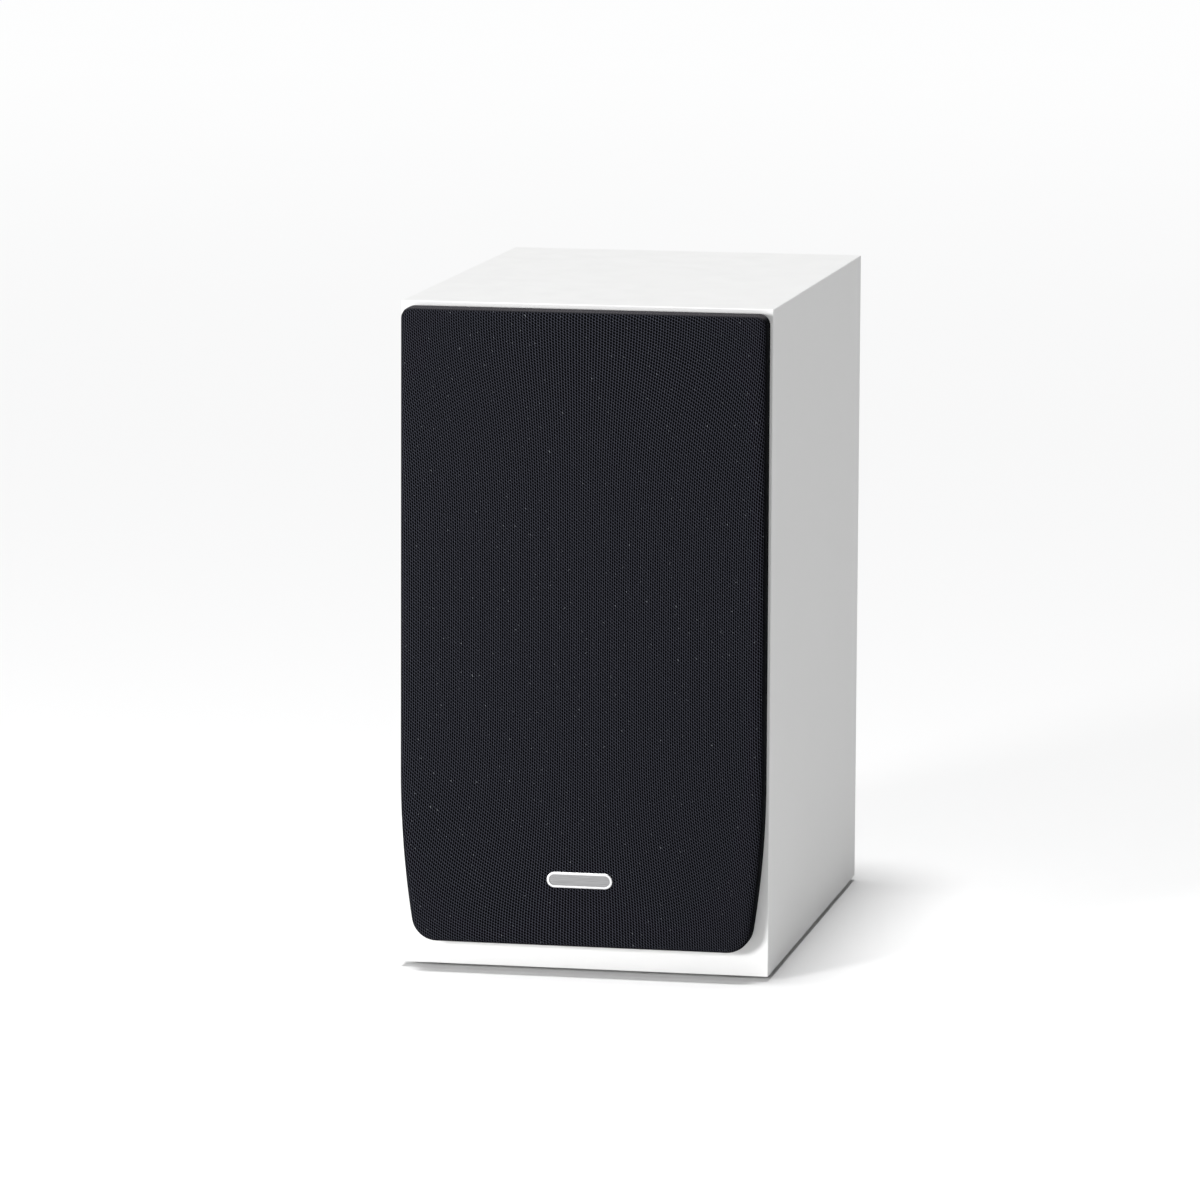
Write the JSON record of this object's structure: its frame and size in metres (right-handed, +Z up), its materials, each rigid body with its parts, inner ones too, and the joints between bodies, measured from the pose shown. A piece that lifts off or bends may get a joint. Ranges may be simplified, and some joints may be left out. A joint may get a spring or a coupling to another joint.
{
  "type": "bookshelf speaker",
  "caption": "Two-way bass-reflex bookshelf speaker in a white rectangular cabinet, with a dark cloth grille that pulls off its drivers and turning binding posts at the back.",
  "frame": {"origin": "centre of the object's footprint, on the surface that its feet stand on", "axes": "+Z up, -Y out of the front grille, +X to the right seen from the front"},
  "size_m": [0.168, 0.2626, 0.302],
  "materials": {
    "cabinet_lacquer": "satin",
    "grille_cloth": "matte",
    "grille_frame": "matte",
    "badge": "polished",
    "rubber": "matte",
    "basket": "matte",
    "trim_ring": "satin",
    "surround": "matte",
    "cone": "satin",
    "dust_cap": "satin",
    "spider": "matte",
    "coil_former": "satin",
    "copper": "satin",
    "plated_steel": "satin",
    "ferrite": "matte",
    "phenolic": "satin",
    "tinned_brass": "satin",
    "black_screws": "satin",
    "faceplate": "satin",
    "dome": "satin",
    "port": "matte",
    "cup": "satin",
    "gold_brass": "polished",
    "red_plastic": "gloss",
    "black_plastic": "gloss",
    "circuit_board": "satin",
    "nylon": "satin",
    "capacitor_sleeve": "gloss",
    "resistor_cement": "matte",
    "red_insulation": "satin",
    "black_insulation": "satin",
    "batting": "matte"
  },
  "bodies": {
    "cabinet": {"top_panel": "cabinet_lacquer", "bottom_panel": "cabinet_lacquer", "left_side_panel": "cabinet_lacquer", "right_side_panel": "cabinet_lacquer", "front_baffle": "cabinet_lacquer", "rear_panel": "cabinet_lacquer", "rubber_feet": "rubber", "grille_sockets": "rubber", "woofer_basket": "basket", "woofer_trim_ring": "trim_ring", "woofer_surround": "surround", "woofer_spider": "spider", "woofer_top_plate": "plated_steel", "woofer_magnet": "ferrite", "woofer_pole_yoke": "plated_steel", "woofer_terminal_board": "phenolic", "woofer_terminal_tabs": "tinned_brass", "woofer_tinsel_leads": "copper", "woofer_screws": "black_screws", "tweeter_faceplate": "faceplate", "tweeter_surround": "dome", "tweeter_top_plate": "plated_steel", "tweeter_magnet": "ferrite", "tweeter_pole_yoke": "plated_steel", "tweeter_terminal_block": "black_plastic", "tweeter_terminal_tabs": "tinned_brass", "tweeter_screws": "black_screws", "port_flare": "port", "port_tube": "port", "terminal_cup": "cup", "terminal_cup_gasket": "rubber", "terminal_cup_screws": "black_screws", "binding_post_studs": "gold_brass", "binding_post_nuts": "tinned_brass", "solder_tabs": "tinned_brass", "red_post_collar": "red_plastic", "black_post_collar": "black_plastic", "crossover_board": "circuit_board", "crossover_standoffs": "nylon", "crossover_inductors": "copper", "crossover_capacitors": "capacitor_sleeve", "crossover_resistors": "resistor_cement", "red_wiring": "red_insulation", "black_wiring": "black_insulation", "damping_lining": "batting"},
    "grille": {"grille_frame": "grille_frame", "grille_cloth": "grille_cloth", "grille_badge": "badge"},
    "woofer_cone_assembly": {"woofer_cone": "cone", "woofer_dust_cap": "dust_cap", "woofer_coil_former": "coil_former", "woofer_voice_coil": "copper"},
    "tweeter_dome_assembly": {"tweeter_dome": "dome", "tweeter_voice_coil": "copper"},
    "red_washer": {"red_clamp_washer": "gold_brass"},
    "red_post_knob": {"red_knob": "red_plastic", "red_knob_insert": "gold_brass"},
    "black_washer": {"black_clamp_washer": "gold_brass"},
    "black_post_knob": {"black_knob": "black_plastic", "black_knob_insert": "gold_brass"}
  },
  "joints": [
    {"name": "grille_pull", "type": "slide", "parent": "cabinet", "child": "grille", "axis": [0, -1, 0], "range_m": [0, 0.06]},
    {"name": "woofer_excursion", "type": "slide", "parent": "cabinet", "child": "woofer_cone_assembly", "axis": [0, -1, 0], "range_m": [-0.0035, 0.0035], "stiffness_N_per_m": 1000, "deforming": ["woofer_surround", "woofer_spider", "woofer_tinsel_leads"]},
    {"name": "tweeter_excursion", "type": "slide", "parent": "cabinet", "child": "tweeter_dome_assembly", "axis": [0, -1, 0], "range_m": [-0.0003, 0.0003], "stiffness_N_per_m": 60, "deforming": ["tweeter_surround"]},
    {"name": "red_washer_slide", "type": "slide", "parent": "cabinet", "child": "red_washer", "axis": [0, 1, 0], "range_m": [0, 0.00501]},
    {"name": "red_knob_turn", "type": "hinge", "parent": "red_washer", "child": "red_post_knob", "pos_m": [-0.0095, 0.11985, 0.084], "axis": [0, 1, 0], "range_deg": [0, 1800]},
    {"name": "black_washer_slide", "type": "slide", "parent": "cabinet", "child": "black_washer", "axis": [0, 1, 0], "range_m": [0, 0.00501]},
    {"name": "black_knob_turn", "type": "hinge", "parent": "black_washer", "child": "black_post_knob", "pos_m": [0.0095, 0.11985, 0.084], "axis": [0, 1, 0], "range_deg": [0, 1800]}
  ],
  "couplings": [
    {"joint": "red_washer_slide", "follows": "red_knob_turn", "m_per_rad": 0.00015915},
    {"joint": "black_washer_slide", "follows": "black_knob_turn", "m_per_rad": 0.00015915}
  ]
}
